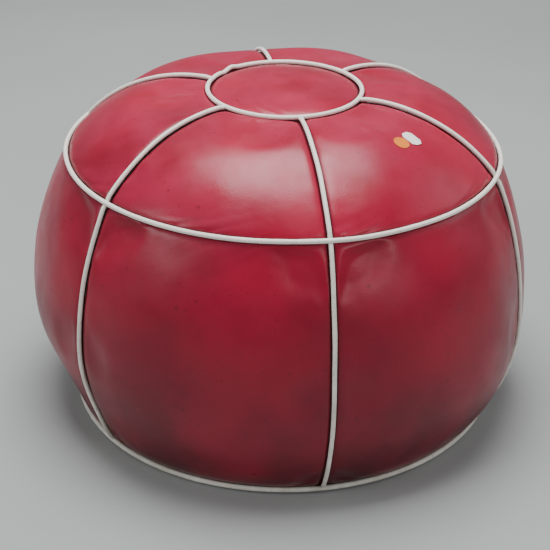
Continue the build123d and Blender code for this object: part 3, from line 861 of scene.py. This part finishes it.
def bag_profile(t, inset):
    """A point of the liner's outline: t runs from 0 at the top centre to 1 at the bottom centre."""
    floor = 0.0165 + inset - 0.0105
    if t < 0.12:
        r = (DISC_SEAM[0]) * t / 0.12
        return r, CROWN[1] - inset - 0.004 * (r / DISC_SEAM[0]) ** 2
    if t < 0.38:
        (r, z), out, _, _ = along(TOP_ARCS, (t - 0.12) / 0.26)
        fade = (t - 0.12) / 0.26
        return r - out[0] * inset - 0.004 * fade * fade, z - out[1] * inset
    if t < 0.86:
        (r, z), out, _, _ = along(SIDE_ARCS, (t - 0.38) / 0.48)
        fade = 1 - (t - 0.38) / 0.48
        return r - out[0] * inset, max(z - out[1] * inset - 0.004 * fade**4, floor)
    end, _, _, _ = along(SIDE_ARCS, 1.0)
    return (end[0] - inset) * (1 - t) / 0.14, floor


class POUF_OT_zip(bpy.types.Operator):
    """Gives the zip, the cords and the stitches their finishes"""

    bl_idname = "pouf.zip"
    bl_label = "Zip, cords and stitches"

    def execute(self, context):
        settings = context.scene.pouf_trim
        finishes = {
            "zip_brass": cast_brass(settings),
            "zip_tape": woven("zip_tape_twill", settings.tape[:], 0.0009, 0.8),
            "sewing_thread": woven("bonded_thread_twisted", settings.thread[:], 0.0008, 0.6),
        }
        slots = {row["node"]: row["material_slot"] for row in frame["record"]["subparts"]}
        for name, node in frame["nodes"].items():
            finish = finishes.get(slots.get(name))
            if finish is not None:
                node.data.materials.clear()
                node.data.materials.append(finish)
        return {"FINISHED"}


class POUF_OT_labels(bpy.types.Operator):
    """Sticks the blank price dot and the blank lot label on a top gore"""

    bl_idname = "pouf.labels"
    bl_label = "Labels"

    def execute(self, context):
        settings = context.scene.pouf_trim
        gore = bpy.data.objects["stuffed_top_gore_5"]
        for node, radius, polar, turn, size, finish in (
            ("price_dot", 0.1485, -56.0, 0.0, (0.015, 0.015), label_paper("orange_label_paper", settings.orange[:], "#DC7A14")),
            ("lot_label", 0.1485, -50.1, 90.0, (0.019, 0.013), label_paper("white_label_paper", settings.white[:], "#F0EFE8")),
        ):
            obj = grid(f"{node}_paper", 24, 16 if node == "lot_label" else 24)
            height = TOP_CENTRE[1] + math.sqrt(TOP_RADIUS**2 - (radius - TOP_CENTRE[0]) ** 2)
            polar, turn = math.radians(polar), math.radians(turn)
            out = Vector(((radius - TOP_CENTRE[0]) / TOP_RADIUS, 0, (height - TOP_CENTRE[1]) / TOP_RADIUS))
            normal = Vector((out.x * math.cos(polar), out.x * math.sin(polar), out.z))
            spot = Vector((radius * math.cos(polar), radius * math.sin(polar), height))
            round_pouf = Vector((-math.sin(polar), math.cos(polar), 0))
            across = round_pouf * math.cos(turn) + normal.cross(round_pouf) * math.sin(turn)
            down = normal.cross(across)
            co, curls = [], []
            for u, v, _ in points(obj):
                x, y = 2 * u - 1, 2 * v - 1
                if node == "price_dot":
                    x, y = x * math.sqrt(1 - y * y / 2), y * math.sqrt(1 - x * x / 2)
                    curls.append(0.00025 * max(0.0, math.hypot(x, y) - 0.9) * 10)
                else:
                    # Its corners are cut off, and one end has begun to lift.
                    y *= min(1.0, 1.0 - (abs(x) - 0.63) / 0.37 * 0.54) if abs(x) > 0.63 else 1.0
                    curls.append(0.0011 * max(0.0, -x - 0.3) ** 2 * (1 + 0.6 * y))
                co.append(spot + normal * 0.012 + across * (x * size[0] / 2) + down * (y * size[1] / 2))
            set_points(obj, [c[:] for c in co])
            found = []
            for point, curl in zip(co, curls):
                hit, place, facing, _ = gore.ray_cast(point, -normal)
                if not hit:
                    raise RuntimeError(f"{node} misses the gore")
                found.append((place + normal * (0.00016 + curl))[:])
            set_points(obj, found)
            mean = sum((p.normal for p in obj.data.polygons), Vector())
            if mean.dot(normal) < 0:
                obj.data.flip_normals()
            apply_modifier(obj, "SOLIDIFY", "paper", thickness=0.00014, offset=-1.0)
            smooth(obj)
            adopt(obj, "cover", [node], finish)
        return {"FINISHED"}


class POUF_OT_stage(bpy.types.Operator):
    """Adds the floor, the lights and the camera"""

    bl_idname = "pouf.stage"
    bl_label = "Stage"

    def execute(self, context):
        settings = context.scene.pouf_stage
        deselect()
        bpy.ops.mesh.primitive_plane_add(size=12, location=(0, 2, 0))
        floor = context.object
        bpy.ops.object.transform_apply(location=True, rotation=True, scale=True)
        floor.name = "studio_floor"
        floor.data.materials.append(studio_floor(settings))

        turn = Matrix.Rotation(settings.azimuth, 4, "Z")
        for name, place, size, watts in (
            ("overhead_softbox", (-0.1, 0.25, 2.3), 1.4, 66),
            ("left_softbox", (-2.0, -1.0, 1.3), 0.9, 11),
            ("front_fill", (1.7, -2.2, 1.5), 0.9, 10),
            ("right_fill", (2.3, 0.4, 1.4), 1.4, 8),
        ):
            data = bpy.data.lights.new(name, "AREA")
            data.shape = "SQUARE"
            data.size = size
            data.energy = watts
            lamp = bpy.data.objects.new(name, data)
            context.scene.collection.objects.link(lamp)
            place = turn @ Vector(place)
            lamp.location = place
            lamp.rotation_euler = (Vector((0, 0, 0.16)) - place).to_track_quat("-Z", "Y").to_euler()

        world = bpy.data.worlds.new("studio")
        world.use_nodes = True
        world.node_tree.nodes["Background"].inputs["Color"].default_value = (1.0, 1.0, 1.0, 1.0)
        world.node_tree.nodes["Background"].inputs["Strength"].default_value = 0.3
        context.scene.world = world

        rise, roll = settings.elevation, math.radians(0.93)
        aim = Vector((-0.0065, 0.0, 0.1163))
        eye = aim + Vector((0, -math.cos(rise), math.sin(rise))) * settings.distance
        ahead = Vector((0, math.cos(rise), -math.sin(rise)))
        right, up = Vector((1, 0, 0)), Vector((0, math.sin(rise), math.cos(rise)))
        tilted_right = right * math.cos(roll) + up * math.sin(roll)
        tilted_up = up * math.cos(roll) - right * math.sin(roll)
        pose = Matrix((tilted_right, tilted_up, -ahead)).transposed().to_4x4()
        pose.translation = eye
        camera = bpy.data.objects.new("camera", bpy.data.cameras.new("camera"))
        camera.data.lens = 95.2
        camera.data.sensor_width = 36
        camera.matrix_world = turn @ pose
        context.scene.collection.objects.link(camera)
        context.scene.camera = camera
        return {"FINISHED"}


class POUF_PT_sidebar(bpy.types.Panel):
    """Lists the pouf's pieces and sizes in the sidebar"""

    bl_label = "Leather Pouf"
    bl_idname = "POUF_PT_sidebar"
    bl_space_type = "VIEW_3D"
    bl_region_type = "UI"
    bl_category = "Pouf"

    def draw(self, context):
        for operator in OPERATORS:
            self.layout.operator(operator.bl_idname)
        for group in SETTINGS:
            box = self.layout.box()
            box.label(text=group.replace("_", " "))
            settings = getattr(context.scene, group)
            for key in settings.bl_rna.properties.keys():
                if key not in ("rna_type", "name"):
                    box.prop(settings, key)


SETTINGS = {
    "pouf_cover": PoufCoverSettings,
    "pouf_piping": PoufPipingSettings,
    "pouf_base": PoufBaseSettings,
    "pouf_trim": PoufTrimSettings,
    "pouf_stage": PoufStageSettings,
}
OPERATORS = (
    POUF_OT_stage,
    POUF_OT_cover,
    POUF_OT_piping,
    POUF_OT_base,
    POUF_OT_filling,
    POUF_OT_zip,
    POUF_OT_labels,
)


def register():
    for cls in (*SETTINGS.values(), *OPERATORS, POUF_PT_sidebar):
        bpy.utils.register_class(cls)
    for name, group in SETTINGS.items():
        setattr(bpy.types.Scene, name, bpy.props.PointerProperty(type=group))


def unregister():
    for name in SETTINGS:
        delattr(bpy.types.Scene, name)
    for cls in reversed((*SETTINGS.values(), *OPERATORS, POUF_PT_sidebar)):
        bpy.utils.unregister_class(cls)


def main():
    register()
    bpy.ops.pouf.stage()
    bpy.ops.pouf.cover()
    bpy.ops.pouf.piping()
    bpy.ops.pouf.base()
    bpy.ops.pouf.filling()
    bpy.ops.pouf.zip()
    bpy.ops.pouf.labels()


if __name__ == "__main__":
    main()
